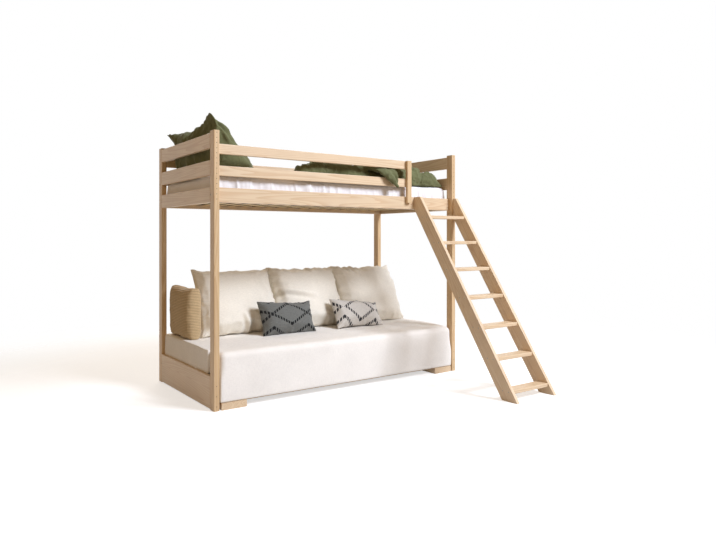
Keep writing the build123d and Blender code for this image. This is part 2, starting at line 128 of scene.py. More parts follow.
# Stage: a pale floor that keeps the shadow, a white surround and soft studio lamps

stageLook = {
    "floorColour": "#D3D1CF",
    "floorGlow": 0.60,  # seen by the camera only, so that the floor reads as white
    "floorRadius": 5.5,
    "floorFade": (2.0, 4.6),  # metres from the middle where the floor gives way to the white surround
    "surroundLight": 0.24,
    "surroundColour": "#FFD8A4",
    "lamps": {
        "keyLamp": {"location": (3.0, -5.5, 5.8), "aim": (0.1, 0.0, 0.9), "size": 2.6, "watts": 830,
                    "colour": "#E8F0FF"},
        "fillLamp": {"location": (-4.0, -1.2, 2.9), "aim": (-0.9, 0.3, 1.5), "size": 1.8, "watts": 12,
                     "colour": "#FFE8CC"},
        "backLamp": {"location": (1.2, 6.2, 4.0), "aim": (0.0, 0.5, 1.0), "size": 3.0, "watts": 170,
                     "colour": "#FFF6EA"},
    },
}


def seenDirectly(tree):
    # 1 for what the camera sees straight, in a gloss or through glass, 0 for light on the object
    path = addNode(tree, "ShaderNodeLightPath")
    cameraOrGloss = addNode(tree, "ShaderNodeMath", {"operation": "MAXIMUM"},
                            {0: path.outputs["Is Camera Ray"], 1: path.outputs["Is Glossy Ray"]})
    seen = addNode(tree, "ShaderNodeMath", {"operation": "MAXIMUM"},
                   {0: cameraOrGloss.outputs[0], 1: path.outputs["Is Transmission Ray"]})
    return seen.outputs[0]


def makeFloor(look):
    material, tree = startMaterial("matte studio floor")
    diffuse = addNode(tree, "ShaderNodeBsdfDiffuse", {"Color": hexColour(look["floorColour"])})
    glow = addNode(tree, "ShaderNodeEmission", {"Strength": look["floorGlow"]})
    dark = addNode(tree, "ShaderNodeEmission", {"Strength": 0.0})
    lit = addNode(tree, "ShaderNodeMixShader", {}, {0: seenDirectly(tree), 1: dark.outputs[0], 2: glow.outputs[0]})
    both = addNode(tree, "ShaderNodeAddShader", {}, {0: diffuse.outputs[0], 1: lit.outputs[0]})
    place = addNode(tree, "ShaderNodeTexCoord")
    away = addNode(tree, "ShaderNodeVectorMath", {"operation": "LENGTH"}, {0: place.outputs["Object"]})
    fade = addNode(tree, "ShaderNodeMapRange", {"interpolation_type": "SMOOTHSTEP",
                                                "From Min": look["floorFade"][0], "From Max": look["floorFade"][1]},
                   {"Value": away.outputs["Value"]})
    clear = addNode(tree, "ShaderNodeBsdfTransparent")
    faded = addNode(tree, "ShaderNodeMixShader", {}, {0: fade.outputs[0], 1: both.outputs[0], 2: clear.outputs[0]})
    addNode(tree, "ShaderNodeOutputMaterial", {}, {"Surface": faded.outputs[0]})
    bm = bmesh.new()
    bmesh.ops.create_circle(bm, cap_ends=True, segments=96, radius=look["floorRadius"])
    floor = finishMesh("studioFloor", bm, material, smooth=False)


def makeSurround(look):
    world = bpy.data.worlds.new("white surround")
    scene.world = world
    world.use_nodes = True
    tree = world.node_tree
    tree.nodes.clear()
    soft = addNode(tree, "ShaderNodeBackground", {"Color": hexColour(look["surroundColour"]),
                                                  "Strength": look["surroundLight"]})
    white = addNode(tree, "ShaderNodeBackground", {"Color": (1, 1, 1, 1), "Strength": 1.0})
    mix = addNode(tree, "ShaderNodeMixShader", {}, {0: seenDirectly(tree), 1: soft.outputs[0], 2: white.outputs[0]})
    addNode(tree, "ShaderNodeOutputWorld", {}, {"Surface": mix.outputs[0]})


def makeLamps(lamps):
    for name, lamp in lamps.items():
        data = bpy.data.lights.new(name, "AREA")
        data.shape = "SQUARE"
        data.size = lamp["size"]
        data.energy = lamp["watts"]
        data.color = hexColour(lamp["colour"])[:3]
        light = bpy.data.objects.new(name, data)
        light.location = lamp["location"]
        aim = Vector(lamp["aim"]) - Vector(lamp["location"])
        light.rotation_euler = aim.to_track_quat("-Z", "Y").to_euler()
        scene.collection.objects.link(light)


scene.view_settings.view_transform = "Standard"
makeFloor(stageLook)
makeSurround(stageLook)
makeLamps(stageLook["lamps"])
print("camera, floor and lamps placed")


# Pine, planed and lacquered: pale early wood between honey late wood lines, under a thin satin film

pineLook = {
    "earlyWood": "#DFC6A4",
    "lateWood": "#BE9365",
    "lateWoodShare": 0.40,
    "lineSpacing": 7.5,  # mm between late wood lines, coarser than real so that they show
    "figureLines": 14,  # line spacings across one arched figure
    "figureRings": 26.0,  # lines over the whole range of the noise that they follow
    "figureLength": 2600.0,  # mm, length of an arched figure
    "fibreWidth": 1.6,  # mm, coarser than real so that it shows
    "fibreStretch": 40,  # a fibre's length over its width
    "fibreTone": (0.35, -0.17),  # how much the fibres darken the wood, and what lifts it back
    "patchTone": (0.90, 1.08),  # darkest and palest patch along a board
    "logLength": 17.0,  # m of log that the boards are cut from
    "roughness": 0.42,
    "coat": 0.12,
}


def makePine(name, look, turn):
    # turn brings the grain direction onto the pattern's X axis
    material, tree = startMaterial(name)
    place = addNode(tree, "ShaderNodeTexCoord")
    board = addNode(tree, "ShaderNodeObjectInfo")
    # each board is cut from another place in the log
    cut = addNode(tree, "ShaderNodeMath", {"operation": "MULTIPLY", 1: look["logLength"]},
                  {0: board.outputs["Random"]})
    moved = addNode(tree, "ShaderNodeVectorMath", {"operation": "ADD"},
                    {0: place.outputs["Object"], 1: cut.outputs[0]})
    turned = addNode(tree, "ShaderNodeMapping", {"Rotation": turn}, {"Vector": moved.outputs[0]})
    figureWidth = look["lineSpacing"] * look["figureLines"] / 1000
    stretched = addNode(tree, "ShaderNodeMapping",
                        {"Scale": (1000 / look["figureLength"], 1 / figureWidth, 1 / figureWidth)},
                        {"Vector": turned.outputs[0]})
    figure = addNode(tree, "ShaderNodeTexNoise", {"Scale": 1.0, "Detail": 1.5, "Roughness": 0.4},
                     {"Vector": stretched.outputs[0]})
    rings = addNode(tree, "ShaderNodeMath", {"operation": "MULTIPLY", 1: look["figureRings"]},
                    {0: figure.outputs["Fac"]})
    ring = addNode(tree, "ShaderNodeMath", {"operation": "FRACT"}, {0: rings.outputs[0]})
    late = addNode(tree, "ShaderNodeMapRange",
                   {"interpolation_type": "SMOOTHSTEP", "From Min": 0.25, "From Max": 1.0, "To Max": 1.0},
                   {"Value": ring.outputs[0]})
    fine = 1000 / look["fibreWidth"]
    fibreScale = addNode(tree, "ShaderNodeMapping", {"Scale": (fine / look["fibreStretch"], fine, fine)},
                         {"Vector": turned.outputs[0]})
    fibre = addNode(tree, "ShaderNodeTexNoise", {"Scale": 1.0, "Detail": 2.0}, {"Vector": fibreScale.outputs[0]})
    broad = addNode(tree, "ShaderNodeTexNoise", {"Scale": 4.0, "Detail": 1.0}, {"Vector": turned.outputs[0]})
    lateAmount = addNode(tree, "ShaderNodeMath", {"operation": "MULTIPLY", 1: look["lateWoodShare"]},
                         {0: late.outputs[0]})
    darken, lift = look["fibreTone"]
    fibreAmount = addNode(tree, "ShaderNodeMath", {"operation": "MULTIPLY_ADD", 1: darken, 2: lift},
                          {0: fibre.outputs["Fac"]})
    amount = addNode(tree, "ShaderNodeMath", {"operation": "ADD", "use_clamp": True},
                     {0: lateAmount.outputs[0], 1: fibreAmount.outputs[0]})
    wood = addNode(tree, "ShaderNodeMix", {"data_type": "RGBA", 6: hexColour(look["earlyWood"]),
                                           7: hexColour(look["lateWood"])}, {0: amount.outputs[0]})
    darkest, palest = look["patchTone"]
    toneRange = addNode(tree, "ShaderNodeMapRange", {"To Min": darkest, "To Max": palest},
                        {"Value": broad.outputs["Fac"]})
    toned = addNode(tree, "ShaderNodeHueSaturation", {}, {"Value": toneRange.outputs[0], "Color": wood.outputs[2]})
    rough = addNode(tree, "ShaderNodeMapRange", {"To Min": look["roughness"] - 0.06,
                                                 "To Max": look["roughness"] + 0.08},
                    {"Value": fibre.outputs["Fac"]})
    bump = addNode(tree, "ShaderNodeBump", {"Strength": 0.25, "Distance": 0.0004}, {"Height": fibre.outputs["Fac"]})
    shader = addNode(tree, "ShaderNodeBsdfPrincipled",
                     {"Coat Weight": look["coat"], "Coat Roughness": 0.35, "IOR": 1.5},
                     {"Base Color": toned.outputs[0], "Roughness": rough.outputs[0], "Normal": bump.outputs[0]})
    addNode(tree, "ShaderNodeOutputMaterial", {}, {"Surface": shader.outputs[0]})
    return material


def ladderRake():
    # the stringers' lean, from the tops of the first and the last tread
    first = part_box("ladder_tread_1")[1]
    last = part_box("ladder_tread_7")[1]
    return math.atan2(last.z - first.z, last.y - first.y)


quarter = math.radians(90)
pineAlongX = makePine("lacquered pine, grain along X", pineLook, (0, 0, 0))
pineAlongY = makePine("lacquered pine, grain along Y", pineLook, (0, 0, -quarter))
# the posts are darker and browner than the rails
postLook = dict(pineLook, earlyWood="#D6B88E", lateWood="#B28450")
pineAlongZ = makePine("lacquered pine, grain upright", postLook, (0, quarter, 0))
pineRaked = makePine("lacquered pine, grain along the ladder", pineLook, (-ladderRake(), 0, -quarter))
# spruce slats are planed and left bare, so they are paler and dull
slatLook = dict(pineLook, earlyWood="#F0D9A8", lateWood="#DDB67A", roughness=0.62, coat=0.0)
slatSpruce = makePine("planed spruce slats, grain along Y", slatLook, (0, 0, -quarter))
# their sides get a dark brown copy of the spruce as painted shade, seen as a dark row below the side rail
slatSideShadeLook = dict(slatLook, earlyWood="#7E6242", lateWood="#5E452C", roughness=0.75)
slatSideShade = makePine("slat sides with painted shade, grain along Y", slatSideShadeLook, (0, 0, -quarter))


def makeMetal(name, colour, roughness):
    # barrel plated in zinc: pale grey, blotchy in its gloss
    material, tree = startMaterial(name)
    place = addNode(tree, "ShaderNodeTexCoord")
    blotch = addNode(tree, "ShaderNodeTexNoise", {"Scale": 300.0}, {"Vector": place.outputs["Object"]})
    rough = addNode(tree, "ShaderNodeMapRange", {"To Min": roughness - 0.08, "To Max": roughness + 0.12},
                    {"Value": blotch.outputs["Fac"]})
    shader = addNode(tree, "ShaderNodeBsdfPrincipled", {"Base Color": hexColour(colour), "Metallic": 1.0},
                     {"Roughness": rough.outputs[0]})
    addNode(tree, "ShaderNodeOutputMaterial", {}, {"Surface": shader.outputs[0]})
    return material


zincSteel = makeMetal("zinc plated steel", "#A9A79F", 0.38)


def dressWood():
    # every rigid node keeps its CAD shape and gets the pine that runs along it
    for name, piece in nodes.items():
        low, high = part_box(name)
        size = high - low
        if name in ("frame_bolts", "barrel_nuts", "wood_screws"):
            material = zincSteel
        elif name.endswith("slats"):
            material = slatSpruce
        elif name.startswith("ladder_stringer"):
            material = pineRaked
        else:
            longest = max(range(3), key=lambda i: size[i])
            material = (pineAlongX, pineAlongY, pineAlongZ)[longest]
        piece.data.materials.clear()
        piece.data.materials.append(material)
        if name == "upper_slats":
            # the sides face along the bed and get the dark copy as painted shade
            piece.data.materials.append(slatSideShade)
            for face in piece.data.polygons:
                face.material_index = 1 if abs(face.normal.x) > 0.7 else 0


dressWood()
print("wood dressed")


# Woven cotton: matte, a soft sheen, slubs along both threads and slightly uneven dye

def makeCotton(name, look):
    material, tree = startMaterial(name)
    place = addNode(tree, "ShaderNodeTexCoord")
    thread = 1000 / look["threadSpacing"]
    slub = thread / look["slubLength"]
    warpScale = addNode(tree, "ShaderNodeMapping", {"Scale": (slub, slub, thread)},
                        {"Vector": place.outputs["Object"]})
    weftScale = addNode(tree, "ShaderNodeMapping", {"Scale": (thread, thread, slub)},
                        {"Vector": place.outputs["Object"]})
    warp = addNode(tree, "ShaderNodeTexNoise", {"Scale": 1.0, "Detail": 1.0}, {"Vector": warpScale.outputs[0]})
    weft = addNode(tree, "ShaderNodeTexNoise", {"Scale": 1.0, "Detail": 1.0}, {"Vector": weftScale.outputs[0]})
    weave = addNode(tree, "ShaderNodeMath", {"operation": "ADD"},
                    {0: warp.outputs["Fac"], 1: weft.outputs["Fac"]})
    dye = addNode(tree, "ShaderNodeTexNoise", {"Scale": look["dyeScale"], "Detail": 3.0},
                  {"Vector": place.outputs["Object"]})
    weaveTone = addNode(tree, "ShaderNodeMapRange", {"From Min": 0.7, "From Max": 1.3,
                                                     "To Min": 1 - look["slub"], "To Max": 1 + look["slub"]},
                        {"Value": weave.outputs[0]})
    dyeTone = addNode(tree, "ShaderNodeMapRange", {"From Min": 0.3, "From Max": 0.7,
                                                   "To Min": 1 - look["dyeDepth"], "To Max": 1 + look["dyeDepth"]},
                      {"Value": dye.outputs["Fac"]})
    tone = addNode(tree, "ShaderNodeMath", {"operation": "MULTIPLY"},
                   {0: weaveTone.outputs[0], 1: dyeTone.outputs[0]})
    colour = addNode(tree, "ShaderNodeHueSaturation", {"Color": hexColour(look["colour"])},
                     {"Value": tone.outputs[0]})
    pucker = addNode(tree, "ShaderNodeTexNoise", {"noise_type": "RIDGED_MULTIFRACTAL", "Scale": look["puckerScale"],
                                                  "Detail": 2.0, "Distortion": 0.6},
                     {"Vector": place.outputs["Object"]})
    puckered = addNode(tree, "ShaderNodeBump", {"Distance": look["pucker"]}, {"Height": pucker.outputs["Fac"]})
    bump = addNode(tree, "ShaderNodeBump", {"Strength": look["relief"], "Distance": 0.0006},
                   {"Height": weave.outputs[0], "Normal": puckered.outputs[0]})
    shader = addNode(tree, "ShaderNodeBsdfPrincipled",
                     {"Roughness": 0.9, "Sheen Weight": look["sheen"], "Sheen Roughness": 0.5, "IOR": 1.45,
                      "Specular IOR Level": 0.25},
                     {"Base Color": colour.outputs[0], "Normal": bump.outputs[0]})
    addNode(tree, "ShaderNodeOutputMaterial", {}, {"Surface": shader.outputs[0]})
    return material, tree, colour, shader


clothBase = {
    "threadSpacing": 2.2,  # mm, coarser than real so that it shows
    "slubLength": 9,  # a thick place's length over the thread spacing
    "dyeScale": 6.0,  # patches of dye per metre
    "dyeDepth": 0.03,
    "slub": 0.05,
    "relief": 0.35,
    "sheen": 0.15,
    "pucker": 0.0008,  # m, height of the soft ridges in a cloth that isn't stretched
    "puckerScale": 8.0,
}
# seat covers of dense canvas: flat and off white
creamCotton = makeCotton("cream cotton canvas", dict(clothBase, colour="#F2EDE5"))[0]
# back cushions of washed linen: warmer, thicker threads, soft puckers
linenCream = makeCotton("cream washed linen", dict(
    clothBase, colour="#EAE3D5", slub=0.07, relief=0.5, pucker=0.0025, puckerScale=14.0))[0]
# the fitted sheet: fine, smooth and nearly white
whiteSheet = makeCotton("white cotton fitted sheet", dict(clothBase, colour="#F0EEF0", slub=0.02, relief=0.15))[0]
# the mattress's underside: dark cloth as painted shade, so the gaps between the slats read dark
mattressUndersideShade = makeCotton("mattress underside, dark as painted shade", dict(clothBase, colour="#40372D", slub=0.04))[0]
# pillow and duvet of washed cotton: matte olive, crumpled all over
olivePercale = makeCotton("olive washed cotton", dict(
    clothBase, colour="#696B49", dyeDepth=0.08, slub=0.06, relief=0.3, sheen=0.1, pucker=0.007,
    puckerScale=24.0))[0]


# Ribbed cotton: soft raised cords side by side, with painted shade between them

def makeCord(name, look):
    material, tree, colour, shader = makeCotton(name, look)
    place = addNode(tree, "ShaderNodeTexCoord")
    wavePeriod = 314  # mm at scale 1
    cords = addNode(tree, "ShaderNodeTexWave", {"bands_direction": "Z", "Scale": wavePeriod / look["cordPitch"],
                                                "Distortion": 0.8, "Detail": 1.0},
                    {"Vector": place.outputs["Object"]})
    # painted shade: the colour darkens between the cords
    tone = addNode(tree, "ShaderNodeMapRange", {"To Min": 0.72, "To Max": 1.06}, {"Value": cords.outputs["Fac"]})
    shaded = addNode(tree, "ShaderNodeHueSaturation", {}, {"Value": tone.outputs[0], "Color": colour.outputs[0]})
    relief = addNode(tree, "ShaderNodeBump", {"Distance": 0.002}, {"Height": cords.outputs["Fac"]})
    tree.links.new(shaded.outputs[0], shader.inputs["Base Color"])
    tree.links.new(relief.outputs[0], shader.inputs["Normal"])
    return material


# cords 11 mm apart
sandCord = makeCord("sand ribbed cotton", dict(clothBase, colour="#C8AD84", slub=0.10, cordPitch=11.0))


# A woven diamond pattern, drawn as rows of stitches on the piece's own UV map

def makeDiamondWeave(name, look):
    material, tree, colour, shader = makeCotton(name, look)
    uv = addNode(tree, "ShaderNodeTexCoord")
    shift = addNode(tree, "ShaderNodeMapping", {"Location": look["patternCentre"], "Rotation": look["patternTurn"]},
                    {"Vector": uv.outputs["UV"]})
    axes = addNode(tree, "ShaderNodeSeparateXYZ", {}, {0: shift.outputs[0]})
    halfWidth, halfHeight = look["diamond"]
    stepWide, stepHigh = look["repeat"]
    lines = []
    for rowShift in (0.0, 0.5):
        folded = []
        for axis, step in ((0, stepWide), (1, stepHigh)):
            moved = addNode(tree, "ShaderNodeMath", {"operation": "ADD", 1: step * (0.5 + rowShift)},
                            {0: axes.outputs[axis]})
            wrapped = addNode(tree, "ShaderNodeMath", {"operation": "FLOORED_MODULO", 1: step},
                              {0: moved.outputs[0]})
            centred = addNode(tree, "ShaderNodeMath", {"operation": "SUBTRACT", 1: step / 2},
                              {0: wrapped.outputs[0]})
            folded.append(addNode(tree, "ShaderNodeMath", {"operation": "ABSOLUTE"}, {0: centred.outputs[0]}))
        across = addNode(tree, "ShaderNodeMath", {"operation": "DIVIDE", 1: halfWidth}, {0: folded[0].outputs[0]})
        along = addNode(tree, "ShaderNodeMath", {"operation": "DIVIDE", 1: halfHeight}, {0: folded[1].outputs[0]})
        reach = addNode(tree, "ShaderNodeMath", {"operation": "ADD"}, {0: across.outputs[0], 1: along.outputs[0]})
        away = addNode(tree, "ShaderNodeMath", {"operation": "SUBTRACT", 1: 1.0}, {0: reach.outputs[0]})
        near = addNode(tree, "ShaderNodeMath", {"operation": "ABSOLUTE"}, {0: away.outputs[0]})
        on = addNode(tree, "ShaderNodeMath", {"operation": "LESS_THAN", 1: look["lineShare"]}, {0: near.outputs[0]})
        stitchPlace = addNode(tree, "ShaderNodeMath", {"operation": "DIVIDE", 1: look["stitch"]},
                              {0: folded[0].outputs[0]})
        stitchPart = addNode(tree, "ShaderNodeMath", {"operation": "FRACT"}, {0: stitchPlace.outputs[0]})
        stitched = addNode(tree, "ShaderNodeMath", {"operation": "LESS_THAN", 1: look["stitchShare"]},
                           {0: stitchPart.outputs[0]})
        lines.append(addNode(tree, "ShaderNodeMath", {"operation": "MULTIPLY"},
                             {0: on.outputs[0], 1: stitched.outputs[0]}))
    drawn = addNode(tree, "ShaderNodeMath", {"operation": "MAXIMUM"},
                    {0: lines[0].outputs[0], 1: lines[1].outputs[0]})
    inked = addNode(tree, "ShaderNodeMix", {"data_type": "RGBA", 7: hexColour(look["yarn"])},
                    {0: drawn.outputs[0], 6: colour.outputs[0]})
    tree.links.new(inked.outputs[2], shader.inputs["Base Color"])
    return material


diamondBase = dict(
    clothBase, slub=0.12, relief=0.7, patternTurn=(0, 0, 0),
    diamond=(0.15, 0.088),  # m, half its width and height
    repeat=(0.30, 0.375),  # m from one diamond to the next, a second row halfway between
    lineShare=0.13,  # half the line's width over the diamond's half height
    stitch=0.020, stitchShare=0.68)  # m from stitch to stitch, and the share that is yarn
# heavy cotton, dyed charcoal or left stone grey, with the diamonds laid in thick yarn
charcoalWeave = makeDiamondWeave("charcoal cotton with black stitched diamonds", dict(
    diamondBase, colour="#6C6D69", yarn="#131414", slub=0.24, patternCentre=(0.004, -0.015, 0)))
stoneWeave = makeDiamondWeave("stone cotton with dark stitched diamonds", dict(
    diamondBase, colour="#CFCAC2", yarn="#3B3A3C", patternCentre=(0.01, -0.01, 0), diamond=(0.13, 0.105),
    patternTurn=(0, 0, math.radians(8))))
print("cloths made")


# Simulated cloth: pressure from inside finds the strain folds, and a cap keeps the piece its size

def settle(piece, look):
    start = [v.co.copy() for v in piece.data.vertices]
    cloth = piece.modifiers.new("cloth", "CLOTH")
    settings = cloth.settings
    # a light cotton cover that creases before it stretches
    settings.quality = 6
    settings.mass = 0.25
    settings.tension_stiffness = 18
    settings.compression_stiffness = 12
    settings.shear_stiffness = 8
    settings.bending_stiffness = look["stiffness"]
    settings.use_pressure = True
    settings.uniform_pressure_force = look["pressure"]
    settings.effector_weights.gravity = 0
    cloth.collision_settings.use_collision = False
    cloth.collision_settings.use_self_collision = False
    cloth.point_cache.frame_start = 1
    cloth.point_cache.frame_end = look["frames"]
    for number in range(1, look["frames"] + 1):
        scene.frame_set(number)
    graph = bpy.context.evaluated_depsgraph_get()
    settled = [v.co.copy() for v in piece.evaluated_get(graph).data.vertices]
    scene.frame_set(1)
    piece.modifiers.clear()
    for vert, old, new in zip(piece.data.vertices, start, settled):
        move = new - old
        move = Vector(move[i] * look["giveAlong"][i] for i in range(3))
        if move.length > look["cap"]:
            move *= look["cap"] / move.length
        vert.co = old + move


def finishPadded(piece, node, body):
    for face in piece.data.polygons:
        face.use_smooth = True
    subdivide(piece, 1)
    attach(piece, body)
    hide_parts(node)
    return piece


# Mattresses and front cushion: boxes with soft edges whose covers pull, dip and pleat

def spreadCuts(bm, size, look):
    # even cuts first, then moved so that the rounded edges get the most
    for axis in range(3):
        along = [e for e in bm.edges if abs((e.verts[0].co - e.verts[1].co)[axis]) > 0.5]
        inner = max(1, round((size[axis] - 2 * look["band"]) / look["step"][axis]))
        bmesh.ops.subdivide_edges(bm, edges=along, cuts=inner + 2 * look["bandCuts"] - 1, use_grid_fill=True)
    for axis in range(3):
        inner = max(1, round((size[axis] - 2 * look["band"]) / look["step"][axis]))
        total = inner + 2 * look["bandCuts"]
        for vert in bm.verts:
            number = round((vert.co[axis] + 0.5) * total)
            fromStart = min(number, total - number)
            if fromStart <= look["bandCuts"]:
                place = look["band"] * fromStart / look["bandCuts"]
            else:
                place = look["band"] + (size[axis] - 2 * look["band"]) * (fromStart - look["bandCuts"]) / inner
            vert.co[axis] = (place if number == fromStart else size[axis] - place) - size[axis] / 2


def softEdge(co, half, look):
    # rounds the box over, more at its soft sides than at the rest
    soft = 1.0
    for axis, side in look["softSides"]:
        soft *= smoothStep(-0.3, 0.5, co[axis] / half[axis] * side)
    radius = look["edgeRadius"] + (look["softRadius"] - look["edgeRadius"]) * soft
    inner = Vector(max(radius - half[i], min(half[i] - radius, co[i])) for i in range(3))
    away = (co - inner) / radius
    return inner + away.normalized() * radius if away.length > 0.001 else co


def pleat(along, depth, look):
    # narrow upright folds at uneven distances, leaning a little
    lean = along + depth * look["pleatLean"] * noise.noise(Vector((along * 3, 5, 1)))
    first = (1 - abs(noise.noise(Vector((lean * look["pleatCount"], 1.5, 0))))) ** 9
    second = (1 - abs(noise.noise(Vector((lean * look["pleatCount"] * 2.3, 7.5, 0))))) ** 6
    patch = smoothStep(-0.25, 0.2, noise.noise(Vector((along * 2.6, 9, 3))))
    return (first + 0.45 * second) * (0.35 + 0.65 * patch)


def makeBlock(name, node, look, material, body):
    low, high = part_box(node)
    low = low + Vector(look["inset"][0])
    high = high - Vector(look["inset"][1])
    centre = (low + high) / 2
    size = high - low
    half = size / 2
    bm = bmesh.new()
    bmesh.ops.create_cube(bm, size=1.0)
    spreadCuts(bm, size, look)
    for vert in bm.verts:
        vert.co = softEdge(vert.co, half, look)
    bm.normal_update()
    for vert in bm.verts:
        share = [abs(vert.co[i]) / half[i] for i in range(3)]
        normal = vert.normal.copy()
        place = vert.co + centre
        move = 0.0
        for axis, crown in look["crowns"].items():
            if vert.co[axis] * crown["side"] > 0:
                others = [share[i] for i in range(3) if i != axis]
                move += crown["height"] * (1 - others[0] ** 2) * (1 - others[1] ** 2) * abs(normal[axis])
        for ruffle in look["ruffles"]:
            scaled = Vector(place[i] * ruffle["frequency"][i] for i in range(3)) + Vector(ruffle["seed"])
            facing = abs(normal[ruffle["faces"]]) if ruffle["faces"] is not None else 1.0
            move += ruffle["height"] * noise.noise(scaled) * facing
        if look.get("pleatDepth"):
            depth = half.z - vert.co.z
            strength = smoothStep(look["pleatStart"][0], look["pleatStart"][1], depth)
            sides = abs(normal.y) * pleat(place.x, depth, look) + abs(normal.x) * 0.4 * pleat(place.y, depth, look)
            move += look["pleatDepth"] * strength * (sides - 0.3)
        if normal.z > -0.5:
            vert.co += normal * move
        if look.get("endSag") and vert.co.z < 0:
            # the overhang past the last slat sinks to the end panel
            start, end = (half.x - inside for inside in look["sagFrom"])
            vert.co.z -= look["endSag"] * smoothStep(start, end, abs(vert.co.x))
        if look.get("frontDrop") and vert.co.z > 0:
            # the top slopes down to the seam with the front cushion
            vert.co.z -= look["frontDrop"] * (1 - smoothStep(0.0, look["dropDepth"], vert.co.y + half.y))
    bmesh.ops.translate(bm, vec=centre, verts=bm.verts)
    bmesh.ops.recalc_face_normals(bm, faces=bm.faces)
    # faces that look down get the second material, dark as painted shade
    if look.get("underside"):
        for face in bm.faces:
            face.material_index = 1 if face.normal.z < -0.6 else 0
    piece = finishMesh(name, bm, material)
    if look.get("underside"):
        piece.data.materials.append(look["underside"])
    return finishPadded(piece, node, body)


# insets are from the node's low and high corners, and soft sides are an axis and a direction; each edge has a band
# of fine cells, and ruffles are smooth noise on the faces that look along one axis or on all
mattressLook = {
    "inset": ((-0.009, 0.006, 0.001), (-0.009, -0.005, 0.004)), "softSides": ((2, 1),),
    "edgeRadius": 0.010, "softRadius": 0.034, "band": 0.034, "bandCuts": 3, "step": (0.0085, 0.03, 0.02),
    "crowns": {2: {"side": 1, "height": 0.006}}, "fill": 0.9,
    "ruffles": [
        {"frequency": (5, 7, 2), "seed": (9, 4, 2), "height": 0.008, "faces": 2},
        {"frequency": (9, 9, 14), "seed": (3, 1, 7), "height": 0.003, "faces": None},
    ],
    "pleatDepth": 0.017, "pleatCount": 13.0, "pleatLean": 0.35, "pleatStart": (0.0, 0.05),
    "underside": mattressUndersideShade,
}
makeBlock("upperMattress", "upper_mattress", mattressLook, whiteSheet, "frame")

seatLook = {
    "inset": ((0.001, -0.0005, 0.0005), (0.001, 0.001, 0.004)), "softSides": ((2, 1), (1, 1)),
    "edgeRadius": 0.0035, "softRadius": 0.020, "band": 0.024, "bandCuts": 3, "step": (0.028, 0.028, 0.03),
    "crowns": {2: {"side": 1, "height": 0.006}}, "fill": 0.9,
    "endSag": 0.0103, "sagFrom": (0.036, 0.012), "frontDrop": 0.006, "dropDepth": 0.15,
    "ruffles": [
        {"frequency": (4, 6, 3), "seed": (1, 3, 5), "height": 0.008, "faces": 2},
        {"frequency": (11, 17, 6), "seed": (2, 8, 1), "height": 0.002, "faces": None},
    ],
}
makeBlock("seatMattress", "seat_mattress", seatLook, creamCotton, "frame")

frontLook = {
    "inset": ((0.001, 0.001, 0.0005), (0.001, 0.0, -0.001)), "softSides": ((2, 1), (1, -1)),
    "edgeRadius": 0.007, "softRadius": 0.040, "band": 0.042, "bandCuts": 4, "step": (0.03, 0.03, 0.03),
    "crowns": {1: {"side": -1, "height": 0.005}}, "fill": 0.9,
    "ruffles": [
        {"frequency": (3, 5, 4), "seed": (6, 3, 5), "height": 0.004, "faces": 1},
        {"frequency": (9, 12, 12), "seed": (4, 8, 1), "height": 0.002, "faces": None},
    ],
}
makeBlock("frontCushion", "front_cushion", frontLook, creamCotton, "front_cushion")
print("mattresses and front cushion made")


# Loose cushions: two sewn panels blown up by cloth pressure, then leaned and pressed on what they rest on

def fixOrder(bm):
    # solidify makes its rim in no fixed order, and cloth settles a little differently in another order
    bm.verts.index_update()
    for parts in (bm.edges, bm.faces):
        ranked = sorted(parts, key=lambda part: sorted(v.index for v in part.verts))
        for number, part in enumerate(ranked):
            part.index = number
        parts.sort()


def sewnPanels(look):
    # lies in the XZ plane round the origin, with a narrow seam band all round
    bm = bmesh.new()
    bmesh.ops.create_grid(bm, x_segments=look["cells"][0], y_segments=look["cells"][1], size=0.5)
    for vert in bm.verts:
        # more cells near the seams, where the panels turn
        for axis in (0, 1):
            vert.co[axis] += 0.5 * (math.sin(math.pi * vert.co[axis]) / 2 - vert.co[axis])
    bmesh.ops.rotate(bm, cent=(0, 0, 0), matrix=Matrix.Rotation(quarter, 3, "X"), verts=bm.verts)
    bmesh.ops.scale(bm, vec=(look["width"], 1, look["height"]), verts=bm.verts)
    bmesh.ops.solidify(bm, geom=bm.faces[:], thickness=look["seamBand"])
    bmesh.ops.translate(bm, vec=(0, -sum(v.co.y for v in bm.verts) / len(bm.verts), 0), verts=bm.verts)
    bmesh.ops.recalc_face_normals(bm, faces=bm.faces)
    fixOrder(bm)
    uv = bm.loops.layers.uv.new("flatCloth")
    for face in bm.faces:
        for loop in face.loops:
            loop[uv].uv = (loop.vert.co.x, loop.vert.co.z)
    return bm


def plump(bm, look):
    # swells the panels, fullest in the middle, and draws each side in between its corners
    halfWidth = look["width"] / 2
    halfHeight = look["height"] / 2
    for vert in bm.verts:
        u = vert.co.x / halfWidth
        v = vert.co.z / halfHeight
        full = max(0.0, (1 - u * u) * (1 - v * v)) ** look["profile"]
        side = 1 if vert.co.y > 0 else -1
        vert.co.y += side * full * (look["thickness"] - look["seamBand"]) / 2
        if look.get("belly") and side > 0:
            # slack filling sinks to the lower half of the back
            low = max(0.0, 1 - (v + 0.3) ** 2) ** 0.6
            wide = max(0.0, 1 - abs(u) ** 14) ** 0.4
            vert.co.y += look["belly"] * wide * low * max(0.0, min(1.0, (1 + v) / 0.12))
        vert.co.x -= u * look["draw"] * (1 - v * v) * abs(u)
        vert.co.z -= v * (look["topDraw"] if v > 0 else look["draw"]) * (1 - u * u) * abs(v)
        corner = smoothStep(0.75, 1.0, abs(u)) * smoothStep(0.75, 1.0, abs(v)) * look["ear"]
        vert.co.x += math.copysign(corner, u)
        vert.co.z += math.copysign(corner, v)


